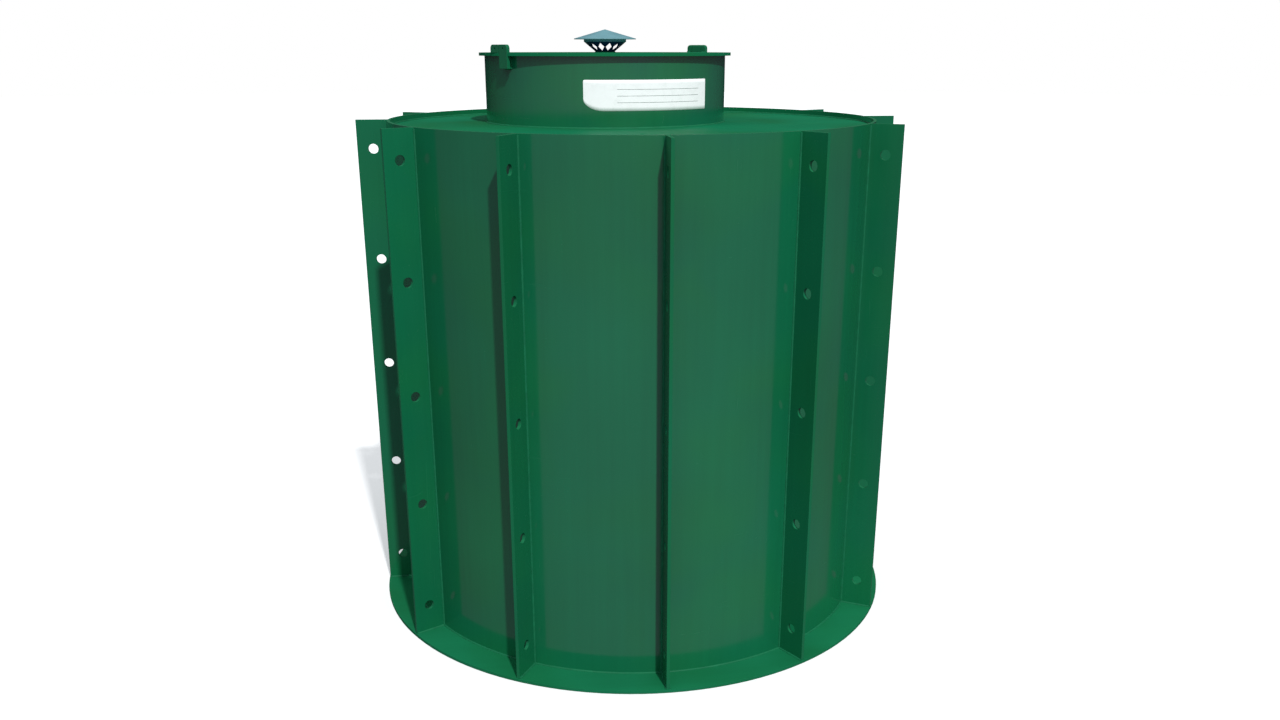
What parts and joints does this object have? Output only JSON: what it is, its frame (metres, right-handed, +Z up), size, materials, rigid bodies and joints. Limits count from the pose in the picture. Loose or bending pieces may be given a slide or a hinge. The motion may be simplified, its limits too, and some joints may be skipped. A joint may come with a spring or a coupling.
{
  "type": "plastic caisson",
  "caption": "Round ribbed plastic caisson with a base plate, a sunk deck, an off-centre neck with a hinged round lid, and a small lattice vent on the lid.",
  "frame": {"origin": "middle of the base plate's underside, on the shell's axis", "axes": "+Z up along the shell's axis; the front rib is at -Y and further ribs follow every 30 degrees"},
  "size_m": [1.4698, 1.4698, 1.56],
  "materials": {
    "green_plastic": "satin welded sheet",
    "vent_blue": "satin",
    "vent_dark": "satin",
    "steel_pin": "drawn rod"
  },
  "bodies": {
    "tank": {"base_plate": "green_plastic", "shell_sheet_1": "green_plastic", "shell_sheet_2": "green_plastic", "shell_sheet_3": "green_plastic", "shell_sheet_4": "green_plastic", "rib_01": "green_plastic", "rib_02": "green_plastic", "rib_03": "green_plastic", "rib_04": "green_plastic", "rib_05": "green_plastic", "rib_06": "green_plastic", "rib_07": "green_plastic", "rib_08": "green_plastic", "rib_09": "green_plastic", "rib_10": "green_plastic", "rib_11": "green_plastic", "rib_12": "green_plastic", "deck": "green_plastic", "neck": "green_plastic", "hinge_bracket": "green_plastic", "hinge_pin": "steel_pin", "latch_bracket": "green_plastic"},
    "cover": {"lid": "green_plastic", "hinge_knuckle_left": "green_plastic", "hinge_knuckle_right": "green_plastic", "latch_tab": "green_plastic", "vent_pipe": "vent_dark", "vent_cage": "vent_dark", "vent_ring": "vent_blue", "vent_hat": "vent_blue"}
  },
  "joints": [
    {"name": "lid_hinge", "type": "hinge", "parent": "tank", "child": "cover", "pos_m": [0.22876, 0.30044, 1.5155], "axis": [-0.5299, 0.848, 0], "range_deg": [0, 105]}
  ]
}
